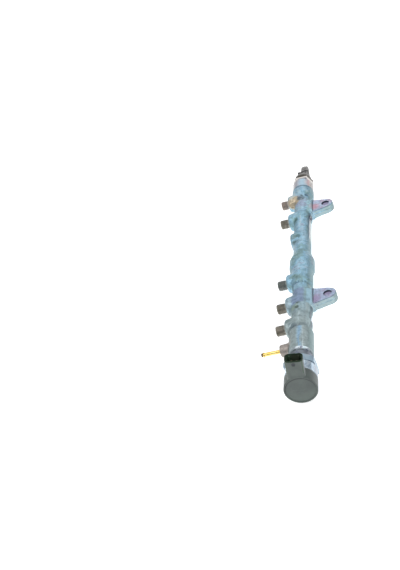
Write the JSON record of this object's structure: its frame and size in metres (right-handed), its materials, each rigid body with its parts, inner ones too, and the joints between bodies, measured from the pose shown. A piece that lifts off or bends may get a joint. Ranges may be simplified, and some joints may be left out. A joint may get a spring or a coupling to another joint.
{
  "type": "diesel common rail",
  "caption": "Forged diesel fuel rail with threaded pipe connections, two bolt lugs, a brass return tail, a pressure sensor and a pressure control valve.",
  "frame": {"origin": "middle of the line between the two lug bolt holes, on the face where the lugs seat", "axes": "+Z along the lug bolts, away from the seat; +Y along the rail towards the pressure sensor; +X away from the pipe connections"},
  "size_m": [0.0833, 0.4467, 0.0573],
  "materials": {
    "plated_forging": "bright zinc plating over a forged surface",
    "brass": "turned brass",
    "plated_steel": "bright zinc plating on turned steel",
    "grey_moulding": "dark grey glass filled moulding",
    "sensor_steel": "turned stainless steel",
    "black_moulding": "black moulding",
    "steel": "turned steel",
    "hard_steel": "ground steel",
    "rubber": "moulded rubber",
    "white_moulding": "natural moulding",
    "copper": "wound enamelled copper wire",
    "board": "circuit board",
    "contacts": "tinned contact blades"
  },
  "bodies": {
    "rail": {"rail_body": "plated_forging", "return_hose_tail": "brass", "valve_screw": "plated_steel", "valve_magnet_cup": "plated_steel", "valve_head": "grey_moulding", "sensor_body": "sensor_steel", "sensor_socket": "black_moulding", "valve_body": "steel", "valve_seat": "hard_steel", "valve_filter": "steel", "valve_o_ring": "rubber", "valve_support_ring": "white_moulding", "valve_sleeve": "steel", "valve_sleeve_plug": "steel", "valve_spring": "steel", "valve_bobbin": "white_moulding", "valve_winding": "copper", "sensor_cell": "steel", "sensor_board": "board", "sensor_seal_ring": "rubber", "valve_terminal_1": "contacts", "valve_terminal_2": "contacts", "sensor_terminal_1": "contacts", "sensor_terminal_2": "contacts", "sensor_terminal_3": "contacts"},
    "armature": {"valve_armature": "steel", "valve_push_pin": "hard_steel", "valve_ball": "hard_steel"}
  },
  "joints": [
    {"name": "valve_lift", "type": "slide", "parent": "rail", "child": "armature", "axis": [0, -1, 0], "range_m": [0, 0.0003], "stiffness_N_per_m": 500, "springref_m": -0.002}
  ]
}
